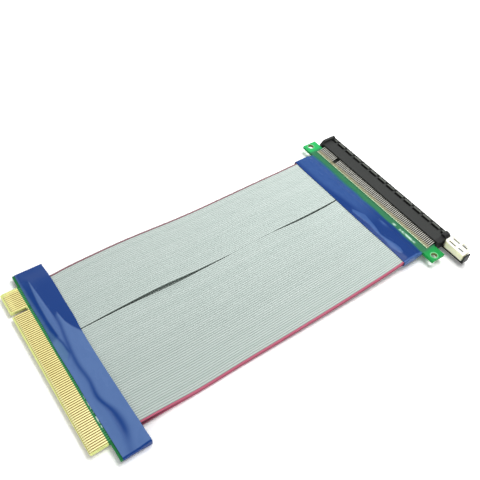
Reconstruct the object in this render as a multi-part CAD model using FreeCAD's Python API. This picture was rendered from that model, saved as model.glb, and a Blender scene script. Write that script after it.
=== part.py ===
import FreeCAD, Part
import math
import os

# A flat ribbon extension cable for a 16-lane expansion slot.
# X runs from the card-edge tongue to the slot mouth, +Y is the keyed end of the contact rows, +Z is up.
# It is drawn from the tongue's tip and the middle of the contact rows, and set on its origin at the end.

# Contact rows, the same on the tongue and in the slot
contact_pitch = 1.0
contact_count = 82
contacts_before_key = 11
key_span = 3.0
contact_span = (contact_count - 2) * contact_pitch + key_span
key_shift = key_span - contact_pitch

# Sheet, film and wire
board_thickness = 1.6
copper_thickness = 0.05
tape_thickness = 0.15
ribbon_thickness = 0.9
bare_wire_radius = 0.16
seat_clearance = 0.02

# Tongue of the plug board
tongue_margin = 1.1
tongue_length = contact_span + 2 * tongue_margin
tongue_depth = 8.3
tongue_corner = 0.5
bevel_length = 1.25
bevel_edge = 0.7
key_notch_width = 1.9
key_notch_depth = 7.4

# Gold fingers and their tracks to the wire pads
finger_setback = 1.35
finger_short_setback = 2.35
finger_end = 7.9
finger_width = 0.7
track_width = 0.4
pad_width = 0.6
short_fingers_upper = (1,)
short_fingers_lower = (17, 31, 48, 81)

# Plug board behind the tongue
plug_shoulder = 7.4
plug_board_length = tongue_length + 2 * plug_shoulder
plug_board_offset = -0.6
plug_board_width = 10.2
plug_jog_start = 0.5
plug_jog_length = 2.0
plug_pad_start = 3.2
plug_pad_length = 3.0
plug_strip_setback = 6.7

# Plug tape, measured from the tongue's shoulder; it drops to the board beside the ribbons
plug_tape_start = 0.7
plug_tape_flat = 1.0
plug_tape_ramp = 3.6
plug_tape_width = 12.7
plug_tape_end_ramp = 3.0

# Ribbons: two layers, each split into a narrow and a wide one
wire_pitch = contact_pitch
narrow_ways = 33
ribbon_slit = 0.1
free_run = 151.0

# Route of the upper ribbons as share of the free run and height of the ribbon's middle over the surface
# that the cable lies on, and the gap down to the lower ribbon there
narrow_route = (
    (0.175, 4.3, 1.1), (0.31, 4.55, 1.5), (0.435, 3.95, 0.45), (0.62, 3.7, 0.4), (0.8, 4.3, 0.6))
wide_route = (
    (0.175, 2.2, 0.25), (0.31, 1.9, 0.2), (0.435, 2.55, 0.2), (0.62, 3.3, 0.25), (0.8, 3.8, 0.5))
route_lead_plug = 6.5
route_lead_socket = 8.5
arc_share = 0.45

# Bare wire ends that are soldered to the pads
wire_bend_gap = 0.2
wire_bend_length = 1.3
wire_foot_length = 1.4

# Socket board: a narrow part under the ribbons, two ears, and an edge between them that the slot grips
socket_neck_length = 9.5
socket_neck_margin = 0.8
ear_depth = 8.6
gripped_edge_reach = 1.3
ear_overhang = 6.9
ear_span = tongue_length + 2 * ear_overhang
ear_hole_inset = 2.4
ear_hole_spacing = ear_span - 2 * ear_hole_inset
ear_hole_radius = 1.55
ear_hole_setback = 3.6
ribbon_on_socket = 3.5
socket_pad_gap = 0.8
socket_pad_length = 2.6
socket_jog_length = 2.0
tail_pad_start = 3.9
tail_pad_length = 3.5

# Socket tape, measured from the socket board's ribbon edge
socket_tape_overhang = 3.6
socket_tape_width = 12.7
socket_tape_ramp = 2.4
socket_tape_flat = 1.6

# Slot housing, whose groove takes a card as thick as the boards; its broad faces lie deeper than its ends
slot_height = 8.0
face_drop_share = 0.16
face_drop = face_drop_share * slot_height
slot_body_height = slot_height - 2 * face_drop
slot_depth = 9.1
slot_key_end_wall = 2.4
slot_latch_end_wall = 1.0
slot_board_grip = 0.4
slot_card_clearance = 0.15
slot_groove_width = board_thickness + slot_card_clearance
slot_groove_depth = 8.0
slot_groove_margin = 0.2
slot_lead_in = 0.8
slot_key_rib = 1.5
key_wall_thickness = 1.4
key_wall_slope = 2.0
end_wall_straight = 3.6
latch_block_length = 3.2
latch_block_depth = 3.6
latch_block_chamfer = 1.2
latch_block_corner = 1.4
latch_leg_slope = 0.8
leg_overlap = 0.5
cell_width = 0.65
cell_clearance = 0.03
board_groove_clearance = 0.05

# Rim along the mouth, lugs against it and a pocket before each lug, on both broad faces
rim_width = 0.5
rim_drop = 0.6
lug_count = 14
contacts_per_lug = 6.5
lug_pitch = contacts_per_lug * contact_pitch
lug_offset = 0.85
lug_length = 5.0
lug_width = 1.0
lug_drop = 0.8
lug_chamfer = 0.15
pocket_width = 1.2
pocket_floor = 0.25

# Slot contacts
contact_thickness = 0.2
contact_width = 0.5
tail_lift = 0.75
tail_start = 0.4
tail_foot = 2.2
tail_slope = 2.2
contact_wall_end = 2.5
contact_bump_end = 5.1
contact_tip_end = 7.7
contact_bump_reach = 0.125
contact_tip_lift = 0.6

# Latch and the tail of the housing that carries it, each slit by its start, length and share of the width
latch_length = 12.0
latch_width = 6.6
latch_past_mouth = 1.4
latch_height = 3.8
latch_gap = 0.4
latch_lift = 0.15
latch_inner_chamfer = 1.2
latch_outer_chamfer = 1.8
latch_slit_width = 0.7
latch_slit_depth = 2.5
latch_slits = ((1.7, 4.0, 0.276), (1.7, 4.0, 0.74), (7.3, 2.9, 0.315), (7.2, 2.9, 0.8))
latch_nub_length = 2.2
latch_nub_width = 0.8
latch_nub_height = 0.7
latch_nub_start = 6.9
latch_nose_length = 1.1
latch_nose_width = 1.2
latch_nose_height = 1.0
latch_nose_setback = 0.6
pivot_from_block = 3.2
pivot_from_mouth = 3.2
pin_radius = 0.6
pin_clearance = 0.05
pin_reach = 1.0
tail_drop = 0.7
tail_height = 1.0
tail_before_mouth = 1.0
tail_end_wall = 0.7
tail_end_height = 3.8
tail_end_gap = 0.6
hook_pocket_depth = 1.4
hook_pocket_height = 2.8
hook_pocket_length = 4.1

# Heights that follow from the stack of tape, ribbon and board
plug_board_bottom = tape_thickness + ribbon_thickness + 2 * seat_clearance
plug_board_top = plug_board_bottom + board_thickness
plug_middle = (plug_board_bottom + plug_board_top) / 2
slot_middle = slot_height / 2
socket_board_bottom = slot_middle - board_thickness / 2
socket_board_top = slot_middle + board_thickness / 2
layer_rise = board_thickness / 2 + seat_clearance + ribbon_thickness / 2
copper_rise = board_thickness / 2 + copper_thickness + seat_clearance
tape_rise = layer_rise + ribbon_thickness / 2 + seat_clearance
cell_height = copper_rise + contact_thickness + tail_lift + cell_clearance
pocket_depth = slot_body_height / 2 - cell_height - pocket_floor
tail_top = slot_middle - tail_drop
tail_base = tail_top - tail_height
latch_bottom = tail_top + latch_lift

# Places along X that follow from the sizes above
plug_edge = tongue_depth + plug_board_width
socket_edge = plug_edge + free_run
ribbon_start = tongue_depth + plug_strip_setback
ribbon_end = socket_edge + ribbon_on_socket
ear_start = socket_edge + socket_neck_length
ear_end = ear_start + ear_depth
socket_board_end = ear_end + gripped_edge_reach
slot_back = socket_board_end - slot_board_grip
slot_mouth = slot_back + slot_depth
latch_far = slot_mouth + latch_past_mouth
latch_near = latch_far - latch_width
tail_far = slot_mouth - tail_before_mouth
pivot_x = slot_mouth - pivot_from_mouth

# Places along Y
ribbon_key_edge = contact_span / 2 - key_shift + wire_pitch / 2
ribbon_latch_edge = -contact_span / 2 - wire_pitch / 2
slit_y = ribbon_key_edge - narrow_ways * wire_pitch
groove_half = tongue_length / 2 + slot_groove_margin
key_y = contact_span / 2 - (contacts_before_key - 1) * contact_pitch - key_span / 2
slot_key_end = groove_half + slot_key_end_wall
slot_latch_end = -groove_half - slot_latch_end_wall
neck_key = ribbon_key_edge + socket_neck_margin
neck_far = ribbon_latch_edge - socket_neck_margin
pivot_y = slot_latch_end - pivot_from_block
latch_inner = slot_latch_end - latch_gap
latch_outer = latch_inner - latch_length


def box(x0, x1, y0, y1, z0, z1):
    """A box between two corners."""
    return Part.makeBox(x1 - x0, y1 - y0, z1 - z0, FreeCAD.Vector(x0, y0, z0))


def prism_z(outline, z0, z1):
    """A closed outline of (x, y) points raised from z0 to z1."""
    points = [FreeCAD.Vector(x, y, z0) for x, y in outline]
    return Part.Face(Part.makePolygon(points + points[:1])).extrude(FreeCAD.Vector(0, 0, z1 - z0))


def prism_x(outline, x0, x1):
    """A closed outline of (y, z) points drawn out from x0 to x1."""
    points = [FreeCAD.Vector(x0, y, z) for y, z in outline]
    return Part.Face(Part.makePolygon(points + points[:1])).extrude(FreeCAD.Vector(x1 - x0, 0, 0))


def prism_y(outline, y0, y1):
    """A closed outline of (x, z) points drawn out from y0 to y1."""
    points = [FreeCAD.Vector(x, y0, z) for x, z in outline]
    return Part.Face(Part.makePolygon(points + points[:1])).extrude(FreeCAD.Vector(0, y1 - y0, 0))


def mirrored(shape, height):
    """The same piece on the other side of a level plane."""
    return shape.mirror(FreeCAD.Vector(0, 0, height), FreeCAD.Vector(0, 0, 1))


def contact_y(number):
    """Place of a contact along its row, counted from the keyed end."""
    skipped = key_shift if number > contacts_before_key else 0
    return contact_span / 2 - (number - 1) * contact_pitch - skipped


def wire_y(number):
    """Place of a wire: the wires run on without the key's gap."""
    return contact_span / 2 - key_shift - (number - 1) * wire_pitch


def copper_strip(stations, z0, z1):
    """Flat copper that follows stations of place, middle and width."""
    one_side = [(x, y + width / 2) for x, y, width in stations]
    other_side = [(x, y - width / 2) for x, y, width in reversed(stations)]
    return prism_z(one_side + other_side, z0, z1)


def bent_strip(points, thickness):
    """Outline of a strip of even thickness whose middle follows (x, z) points."""
    directions = []
    for (xa, za), (xb, zb) in zip(points, points[1:]):
        run = math.hypot(xb - xa, zb - za)
        directions.append(((xb - xa) / run, (zb - za) / run))
    before = [directions[0]] + directions
    after = directions + [directions[-1]]
    upper = []
    lower = []
    for (x, z), (ax, az), (bx, bz) in zip(points, before, after):
        reach = thickness / 2 / (1 + ax * bx + az * bz)
        upper.append((x - reach * (az + bz), z + reach * (ax + bx)))
        lower.append((x + reach * (az + bz), z - reach * (ax + bx)))
    return upper + lower[::-1]


def plug_board():
    """Board with the bevelled tongue and its key notch."""
    half = tongue_length / 2
    key_end = plug_board_offset + plug_board_length / 2
    far_end = plug_board_offset - plug_board_length / 2
    outline = [(0, half - tongue_corner), (tongue_corner, half), (tongue_depth, half)]
    outline += [(tongue_depth, key_end), (plug_edge, key_end), (plug_edge, far_end)]
    outline += [(tongue_depth, far_end), (tongue_depth, -half), (tongue_corner, -half)]
    outline += [(0, -half + tongue_corner)]
    board = prism_z(outline, plug_board_bottom, plug_board_top)
    drop = (board_thickness - bevel_edge) / 2
    wedge = [(0, plug_board_top), (bevel_length, plug_board_top), (0, plug_board_top - drop)]
    upper_bevel = prism_y(wedge, -half, half)
    notch_radius = key_notch_width / 2
    straight = key_notch_depth - notch_radius
    notch = box(0, straight, key_y - notch_radius, key_y + notch_radius, 0, 2 * plug_board_top)
    round_end = Part.makeCylinder(notch_radius, 2 * plug_board_top, FreeCAD.Vector(straight, key_y, 0))
    return board.cut([upper_bevel, mirrored(upper_bevel, plug_middle), notch, round_end])


def plug_contacts(short_fingers):
    """Gold fingers with their tracks and wire pads, on the board's upper face."""
    pieces = []
    jog_start = tongue_depth + plug_jog_start
    pad_start = tongue_depth + plug_pad_start
    for number in range(1, contact_count + 1):
        y = contact_y(number)
        wire = wire_y(number)
        start = finger_short_setback if number in short_fingers else finger_setback
        stations = [(start, y, finger_width), (finger_end, y, finger_width), (finger_end, y, track_width)]
        stations += [(jog_start, y, track_width), (jog_start + plug_jog_length, wire, track_width)]
        stations += [(pad_start, wire, track_width), (pad_start, wire, pad_width)]
        stations += [(pad_start + plug_pad_length, wire, pad_width)]
        pieces.append(copper_strip(stations, plug_board_top, plug_board_top + copper_thickness))
    return Part.makeCompound(pieces)


def socket_tracks():
    """Wire pads with tracks to the pads of the slot's tails, on the board's upper face."""
    pieces = []
    pad_start = ribbon_end + socket_pad_gap
    pad_end = pad_start + socket_pad_length
    tail_pad = ear_start + tail_pad_start
    jog_end = pad_end + (tail_pad - pad_end + socket_jog_length) / 2
    for number in range(1, contact_count + 1):
        y = contact_y(number)
        wire = wire_y(number)
        stations = [(pad_start, wire, pad_width), (pad_end, wire, pad_width), (pad_end, wire, track_width)]
        stations += [(jog_end - socket_jog_length, wire, track_width), (jog_end, y, track_width)]
        stations += [(tail_pad, y, track_width), (tail_pad, y, pad_width)]
        stations += [(tail_pad + tail_pad_length, y, pad_width)]
        pieces.append(copper_strip(stations, socket_board_top, socket_board_top + copper_thickness))
    return Part.makeCompound(pieces)


def socket_board():
    """Board with a neck under the ribbons, two holed ears, and between them the edge that the slot grips."""
    half = ear_span / 2
    edge_half = groove_half - board_groove_clearance
    outline = [(socket_edge, neck_far), (socket_edge, neck_key), (ear_start, neck_key), (ear_start, half)]
    outline += [(ear_end, half), (ear_end, edge_half), (socket_board_end, edge_half)]
    outline += [(socket_board_end, -edge_half), (ear_end, -edge_half), (ear_end, -half)]
    outline += [(ear_start, -half), (ear_start, neck_far)]
    board = prism_z(outline, socket_board_bottom, socket_board_top)
    holes = []
    for y in (-ear_hole_spacing / 2, ear_hole_spacing / 2):
        foot = FreeCAD.Vector(ear_start + ear_hole_setback, y, 0)
        holes.append(Part.makeCylinder(ear_hole_radius, 2 * socket_board_top, foot))
    return board.cut(holes)


def ribbon_route(inner_points, side):
    """Hand-chosen route of a ribbon's middle, level over both boards. Side is 1 above them, -1 below."""
    plug_level = plug_middle + side * layer_rise
    socket_level = slot_middle + side * layer_rise
    points = [(ribbon_start, plug_level), (plug_edge + route_lead_plug, plug_level)]
    for share, height, gap in inner_points:
        drop = 0 if side > 0 else ribbon_thickness + gap
        points.append((plug_edge + share * free_run, height - drop))
    points += [(socket_edge - route_lead_socket, socket_level), (ribbon_end, socket_level)]
    return points


def ribbon(inner_points, side, y0, y1):
    """One flat ribbon along its route: straight runs joined by arcs as large as the runs allow."""
    route = [FreeCAD.Vector(x, y0, z) for x, z in ribbon_route(inner_points, side)]
    half = ribbon_thickness / 2
    up = FreeCAD.Vector(0, -1, 0)
    ahead = [(b - a).normalize() for a, b in zip(route, route[1:])]
    rails = {1: [], -1: []}
    length = 0
    radii = []
    last = route[0]
    for before, corner, after, way_in, way_out in zip(route, route[1:], route[2:], ahead, ahead[1:]):
        reach = arc_share * min((corner - before).Length, (after - corner).Length)
        turn = way_in.getAngle(way_out)
        radius = reach / math.tan(turn / 2)
        radii.append(radius)
        inward = (way_out - way_in).normalize()
        start = corner - way_in * reach
        middle = corner + inward * (radius / math.cos(turn / 2) - radius)
        end = corner + way_out * reach
        length += (start - last).Length + radius * turn
        for rail in rails:
            side_in = way_in.cross(up) * (rail * half)
            side_out = way_out.cross(up) * (rail * half)
            side_middle = (way_in + way_out).normalize().cross(up) * (rail * half)
            points = (start + side_in, middle + side_middle, end + side_out)
            rails[rail].append((last + side_in, points))
        last = end
    length += (route[-1] - last).Length
    edges = []
    ends = {}
    for rail, bends in rails.items():
        side_end = ahead[-1].cross(up) * (rail * half)
        ends[rail] = (bends[0][0], route[-1] + side_end)
        for first, (start, middle, end) in bends:
            edges.append(Part.makeLine(first, start))
            edges.append(Part.Arc(start, middle, end).toShape())
        edges.append(Part.makeLine(bends[-1][1][2], ends[rail][1]))
    edges.append(Part.makeLine(ends[1][0], ends[-1][0]))
    edges.append(Part.makeLine(ends[1][1], ends[-1][1]))
    profile = Part.Wire(Part.__sortEdges__(edges))
    solid = Part.Face(profile).extrude(FreeCAD.Vector(0, y1 - y0, 0))
    print("ribbon radii", [round(radius) for radius in radii], "length", round(length, 2),
          "volume share", round(solid.Volume / (length * ribbon_thickness * (y1 - y0)), 5))
    return solid


def narrow_ribbon(side):
    """The ribbon on the keyed side of the slit."""
    return ribbon(narrow_route, side, slit_y + ribbon_slit / 2, ribbon_key_edge)


def wide_ribbon(side):
    """The ribbon on the latch side of the slit."""
    return ribbon(wide_route, side, ribbon_latch_edge, slit_y - ribbon_slit / 2)


def wire_ends(start, heading, middle):
    """Bare wires that leave the insulation, step down to their pads and lie on them, on the upper face."""
    centre = middle + layer_rise
    foot = middle + copper_rise + bare_wire_radius
    bend = start + heading * wire_bend_gap
    landing = bend + heading * wire_bend_length
    tip = landing + heading * wire_foot_length
    route = [(start, centre), (bend, centre), (landing, foot), (tip, foot)]
    points = [FreeCAD.Vector(x, 0, z) for x, z in route]
    section = Part.Wire(Part.makeCircle(bare_wire_radius, points[0], FreeCAD.Vector(1, 0, 0)))
    pipe = Part.BRepOffsetAPI.MakePipeShell(Part.makePolygon(points))
    pipe.setTransitionMode(1)
    pipe.add(section)
    pipe.build()
    pipe.makeSolid()
    wire = pipe.shape()
    pieces = []
    for number in range(1, contact_count + 1):
        piece = wire.copy()
        piece.translate(FreeCAD.Vector(0, wire_y(number), 0))
        pieces.append(piece)
    return Part.makeCompound(pieces)


def both_sides(profile, middle, lift, stretch):
    """Closed outline of (place, rise) points over and under a middle, lifted and stretched at both ends."""
    rises = [(place, rise + lift) for place, rise in profile]
    rises[0] = (rises[0][0] - stretch, rises[0][1])
    rises[-1] = (rises[-1][0] + stretch, rises[-1][1])
    upper = [(place, middle + rise) for place, rise in rises]
    lower = [(place, middle - rise) for place, rise in reversed(rises)]
    return upper + lower


def folded_tape(along, across, middle):
    """Tape folded round a board, as far from the board's middle as the lesser of two profiles.

    The first has (x, rise) points and leaves the tape open at its ends, the second has (y, rise) points.
    """
    sleeves = []
    for lift, reach in ((tape_thickness, 0), (0, tape_thickness)):
        x0 = along[0][0] - reach
        x1 = along[-1][0] + reach
        y0 = across[0][0] - lift
        y1 = across[-1][0] + lift
        lengthwise = prism_y(both_sides(along, middle, lift, reach), y0, y1)
        crosswise = prism_x(both_sides(across, middle, lift, lift), x0, x1)
        sleeves.append(lengthwise.common(crosswise))
    return sleeves[0].cut(sleeves[1])


def plug_tape():
    """Tape over the plug board, the wire ends and the start of the ribbons."""
    start = tongue_depth + plug_tape_start
    ramp = start + plug_tape_flat
    along = [(start, copper_rise), (ramp, copper_rise)]
    along += [(ramp + plug_tape_ramp, tape_rise), (start + plug_tape_width, tape_rise)]
    half = plug_board_length / 2 + seat_clearance
    far_step = ribbon_latch_edge - seat_clearance
    key_step = ribbon_key_edge + seat_clearance
    across = [(plug_board_offset - half, copper_rise), (far_step - plug_tape_end_ramp, copper_rise)]
    across += [(far_step, tape_rise), (key_step, tape_rise)]
    across += [(key_step + plug_tape_end_ramp, copper_rise), (plug_board_offset + half, copper_rise)]
    return folded_tape(along, across, plug_middle)


def socket_tape():
    """Tape over the ribbon ends, the wire ends and the neck of the socket board."""
    start = socket_edge - socket_tape_overhang
    end = start + socket_tape_width
    ramp_end = end - socket_tape_flat
    along = [(start, tape_rise), (ramp_end - socket_tape_ramp, tape_rise)]
    along += [(ramp_end, copper_rise), (end, copper_rise)]
    across = [(neck_far - seat_clearance, tape_rise), (neck_key + seat_clearance, tape_rise)]
    return folded_tape(along, across, slot_middle)


def slot_shell():
    """Outside of the slot housing: body with rim and lugs, end walls, and the tail that carries the latch."""
    body_top = slot_height - face_drop
    body = box(slot_back, slot_mouth, slot_latch_end, slot_key_end, face_drop, body_top)
    lug_end = slot_mouth - rim_width
    lug_start = lug_end - lug_width
    lug_top = slot_height - lug_drop
    lug_view = [(lug_start, slot_middle), (lug_start, lug_top - lug_chamfer), (lug_start + lug_chamfer, lug_top)]
    lug_view += [(lug_end, lug_top), (lug_end, slot_middle)]
    pockets = []
    pieces = [box(lug_end, slot_mouth, slot_latch_end, slot_key_end, rim_drop, slot_height - rim_drop)]
    for index in range(lug_count):
        y = lug_offset + (index - (lug_count - 1) / 2) * lug_pitch
        y0 = max(y - lug_length / 2, slot_latch_end)
        y1 = min(y + lug_length / 2, slot_key_end)
        lug = prism_y(lug_view, y0, y1)
        pocket = box(lug_start - pocket_width, lug_start, y0, y1, body_top - pocket_depth, body_top)
        pieces += [lug, mirrored(lug, slot_middle)]
        pockets += [pocket, mirrored(pocket, slot_middle)]
    # The end walls reach past the body's back, up to the ears
    wall_back = ear_end + board_groove_clearance
    lower = slot_middle - end_wall_straight / 2
    upper = slot_middle + end_wall_straight / 2
    key_view = [(wall_back, lower), (wall_back + key_wall_slope, 0), (slot_mouth, 0)]
    key_view += [(slot_mouth, slot_height), (wall_back + key_wall_slope, slot_height), (wall_back, upper)]
    pieces.append(prism_y(key_view, slot_key_end - key_wall_thickness, slot_key_end))
    block_inner = slot_latch_end + latch_block_length
    block_bevel = slot_latch_end + latch_block_chamfer
    block_top = slot_height - latch_block_corner
    block_view = [(block_inner, 0), (block_inner, slot_height), (block_bevel, slot_height)]
    block_view += [(slot_latch_end, block_top), (slot_latch_end, latch_block_corner), (block_bevel, 0)]
    pieces.append(prism_x(block_view, slot_mouth - latch_block_depth, slot_mouth))
    leg_end = slot_back + leg_overlap
    leg_view = [(wall_back, lower), (wall_back + latch_leg_slope, latch_block_corner)]
    leg_view += [(leg_end, latch_block_corner), (leg_end, block_top)]
    leg_view += [(wall_back + latch_leg_slope, block_top), (wall_back, upper)]
    pieces.append(prism_y(leg_view, slot_latch_end, -groove_half))
    end_wall = latch_outer - tail_end_gap
    tail_end = end_wall - tail_end_wall
    pieces.append(box(latch_near, tail_far, tail_end, slot_latch_end, tail_base, tail_top))
    pieces.append(box(latch_near, tail_far, tail_end, end_wall, tail_base, tail_top + tail_end_height))
    return body.cut(pockets).fuse(pieces).removeSplitter()


def slot_housing():
    """Slot housing with its keyed groove, contact cells, board groove and hook pocket."""
    floor = slot_mouth - slot_groove_depth
    half = slot_groove_width / 2
    rib = slot_key_rib / 2
    cell_end = slot_mouth - slot_lead_in
    flare = half + slot_lead_in
    lead_in = [(cell_end, slot_middle - half), (cell_end, slot_middle + half)]
    lead_in += [(slot_mouth, slot_middle + flare), (slot_mouth, slot_middle - flare)]
    tools = []
    for y0, y1 in ((key_y + rib, groove_half), (-groove_half, key_y - rib)):
        tools.append(box(floor, slot_mouth, y0, y1, slot_middle - half, slot_middle + half))
        tools.append(prism_y(lead_in, y0, y1))
    board_half = board_thickness / 2 + board_groove_clearance
    tools.append(box(slot_back, socket_board_end + board_groove_clearance, -groove_half, groove_half,
                     slot_middle - board_half, slot_middle + board_half))
    for number in range(1, contact_count + 1):
        y = contact_y(number)
        y0 = y - cell_width / 2
        y1 = y + cell_width / 2
        tools.append(box(slot_back, cell_end, y0, y1, slot_middle + half, slot_middle + cell_height))
        tools.append(box(slot_back, cell_end, y0, y1, slot_middle - cell_height, slot_middle - half))
    pocket_half = hook_pocket_height / 2
    pocket_end = slot_latch_end + hook_pocket_depth
    tools.append(box(slot_mouth - hook_pocket_length, slot_mouth, slot_latch_end, pocket_end,
                     slot_middle - pocket_half, slot_middle + pocket_half))
    tools.append(Part.makeCylinder(pin_radius, tail_height, FreeCAD.Vector(pivot_x, pivot_y, tail_base)))
    return slot_shell().cut(tools)


def slot_contacts():
    """Sprung contacts of the upper row, from the soldered tail to the bump in the groove."""
    tail = ear_start + tail_pad_start + tail_start
    foot = copper_rise + contact_thickness / 2
    lifted = foot + tail_lift
    bump = slot_groove_width / 2 - contact_bump_reach + contact_thickness / 2
    points = [(tail, foot), (tail + tail_foot, foot), (tail + tail_foot + tail_slope, lifted)]
    points += [(slot_back + contact_wall_end, lifted), (slot_back + contact_bump_end, bump)]
    points += [(slot_back + contact_tip_end, bump + contact_tip_lift)]
    raised = [(x, slot_middle + z) for x, z in points]
    outline = bent_strip(raised, contact_thickness)
    pieces = []
    for number in range(1, contact_count + 1):
        y = contact_y(number)
        pieces.append(prism_y(outline, y - contact_width / 2, y + contact_width / 2))
    return Part.makeCompound(pieces)


def latch():
    """Latch that swings on its pin over the tail and holds a card's hook."""
    high = latch_bottom + latch_height
    outline = [(latch_near, latch_outer), (latch_near, latch_inner - latch_inner_chamfer)]
    outline += [(latch_near + latch_inner_chamfer, latch_inner), (latch_far, latch_inner)]
    outline += [(latch_far, latch_outer + latch_outer_chamfer)]
    outline += [(latch_far - latch_outer_chamfer, latch_outer)]
    body = prism_z(outline, latch_bottom, high)
    nose_end = slot_mouth - latch_nose_setback
    nose_half = latch_nose_height / 2
    nose = box(nose_end - latch_nose_width, nose_end, latch_inner, latch_inner + latch_nose_length,
               slot_middle - nose_half, slot_middle + nose_half)
    nub_y = latch_inner - latch_nub_start
    nub = box(latch_far - latch_nub_width, latch_far, nub_y - latch_nub_length, nub_y,
              high, high + latch_nub_height)
    tools = []
    for start, length, share in latch_slits:
        x0 = latch_near + share * latch_width - latch_slit_width / 2
        y1 = latch_inner - start
        tools.append(box(x0, x0 + latch_slit_width, y1 - length, y1, high - latch_slit_depth, high))
    tools.append(Part.makeCylinder(pin_radius + pin_clearance, pin_reach + pin_clearance,
                                   FreeCAD.Vector(pivot_x, pivot_y, latch_bottom)))
    return body.fuse([nose, nub]).removeSplitter().cut(tools)


def latch_pin():
    """Pin pressed into the tail, on which the latch swings."""
    length = tail_height + latch_lift + pin_reach
    return Part.makeCylinder(pin_radius, length, FreeCAD.Vector(pivot_x, pivot_y, tail_base))


def build():
    """Every piece by its node's name, with the part's origin under the middle of its box."""
    fingers_lower = mirrored(plug_contacts(short_fingers_lower), plug_middle)
    plug_wires = wire_ends(ribbon_start, -1, plug_middle)
    socket_wires = wire_ends(ribbon_end, 1, slot_middle)
    pieces = {
        "plug_board": plug_board(),
        "plug_contacts_upper": plug_contacts(short_fingers_upper),
        "plug_contacts_lower": fingers_lower,
        "plug_wire_ends_upper": plug_wires,
        "plug_wire_ends_lower": mirrored(plug_wires, plug_middle),
        "plug_tape": plug_tape(),
        "ribbon_upper_narrow": narrow_ribbon(1),
        "ribbon_lower_narrow": narrow_ribbon(-1),
        "ribbon_upper_wide": wide_ribbon(1),
        "ribbon_lower_wide": wide_ribbon(-1),
        "socket_board": socket_board(),
        "socket_tracks_upper": socket_tracks(),
        "socket_tracks_lower": mirrored(socket_tracks(), slot_middle),
        "socket_wire_ends_upper": socket_wires,
        "socket_wire_ends_lower": mirrored(socket_wires, slot_middle),
        "socket_tape": socket_tape(),
        "slot_housing": slot_housing(),
        "slot_contacts_upper": slot_contacts(),
        "slot_contacts_lower": mirrored(slot_contacts(), slot_middle),
        "latch": latch(),
        "latch_pin": latch_pin(),
    }
    bounds = Part.makeCompound(list(pieces.values())).BoundBox
    shift = FreeCAD.Vector(-bounds.Center.x, -bounds.Center.y, -bounds.ZMin)
    print("origin shift", [round(value, 4) for value in shift])
    os.makedirs("parts", exist_ok=True)
    for name, shape in pieces.items():
        shape.translate(shift)
        shape.exportStep("parts/" + name + ".step")
        state = "valid" if shape.isValid() else "not valid"
        print(name, len(shape.Solids), "solids", state, round(shape.Volume, 3))


build()
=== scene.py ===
import math

import bpy
import numpy as np
from mathutils import Matrix, Vector


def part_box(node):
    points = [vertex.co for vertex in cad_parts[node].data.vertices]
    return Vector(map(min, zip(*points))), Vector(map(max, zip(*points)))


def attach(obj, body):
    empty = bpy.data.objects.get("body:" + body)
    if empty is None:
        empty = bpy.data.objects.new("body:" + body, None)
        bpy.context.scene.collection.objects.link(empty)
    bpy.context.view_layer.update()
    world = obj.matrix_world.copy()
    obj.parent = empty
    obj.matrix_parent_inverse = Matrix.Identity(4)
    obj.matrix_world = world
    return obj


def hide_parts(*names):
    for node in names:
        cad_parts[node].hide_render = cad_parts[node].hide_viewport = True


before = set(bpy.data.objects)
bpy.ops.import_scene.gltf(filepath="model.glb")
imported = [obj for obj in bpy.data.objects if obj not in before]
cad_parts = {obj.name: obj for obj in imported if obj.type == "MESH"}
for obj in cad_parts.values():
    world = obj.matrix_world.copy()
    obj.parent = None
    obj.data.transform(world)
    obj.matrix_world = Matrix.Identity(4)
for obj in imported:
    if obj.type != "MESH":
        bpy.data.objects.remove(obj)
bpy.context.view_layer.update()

# The looks of a flat ribbon extension cable for an expansion slot.
# Sizes and places are millimetres in the frame's own axes, and MM turns them into metres.
# +X runs from the plug's tongue to the slot's mouth, +Y is the keyed end, and the table is at height 0.
# Places along X in the lists below count from the middle between the tongue's tip and the slot's mouth.
MM = 0.001

# View: the angle, distance and lens that were fitted to the plug's contact rows
view_target = (11.06, 18.655, 0.0)
view_distance = 301.4
view_azimuth = -41.21
view_elevation = 48.73
view_roll = 7.04
view_lens = 45.69
sensor_width = 36.0
nearest_seen = 10

# Ribbons: way counts, insulation over a wire, web between wires, and the fineness of the mesh
wide_ways = 49
narrow_ways = 33
insulation_radius = 0.45
web_half = 0.13
points_above = 8
points_below = 4
station_spacing = 2.0

# Heights of the ribbons' middles along their four edges, given as (place along X, height)
far_edge_upper = (
    (-84, 3.16), (-80, 3.16), (-76.2, 3.17), (-71.6, 3.74), (-49, 4.75), (-24, 4.25), (8, 3.7),
    (51, 4.6), (66, 5.2), (74.5, 5.27))
narrow_slit_upper = (
    (-84, 3.16), (-80, 3.16), (-76, 3.17), (-70, 3.4), (-58, 3.9), (-35, 4.5), (-15, 3.65), (2, 3.2),
    (13, 3.65), (22, 4.1), (49, 4.4), (66, 5.2), (74.5, 5.27))
wide_slit_upper = (
    (-84, 3.16), (-80, 3.155), (-76, 3.09), (-70, 3.05), (-58, 3.15), (-35, 2.4), (-15, 3.05), (2, 3.2),
    (13, 3.65), (22, 4.0), (49, 3.6), (60, 4.4), (66, 5.19), (70.6, 5.26), (74.5, 5.27))
near_edge_upper = (
    (-84, 3.16), (-80, 3.155), (-76, 2.98), (-48, 1.6), (-24, 1.8), (2, 2.35), (27, 2.95), (51, 3.9),
    (60, 4.3), (66.2, 4.6), (68.4, 4.95), (70.4, 5.25), (72.4, 5.27), (74.5, 5.27))
far_edge_lower = (
    (-84, 0.62), (-77, 0.7), (-66, 2.0), (-49, 3.5), (-24, 3.1), (8, 2.6), (40, 2.9), (58, 2.8),
    (66, 2.74), (74.5, 2.73))
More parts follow.
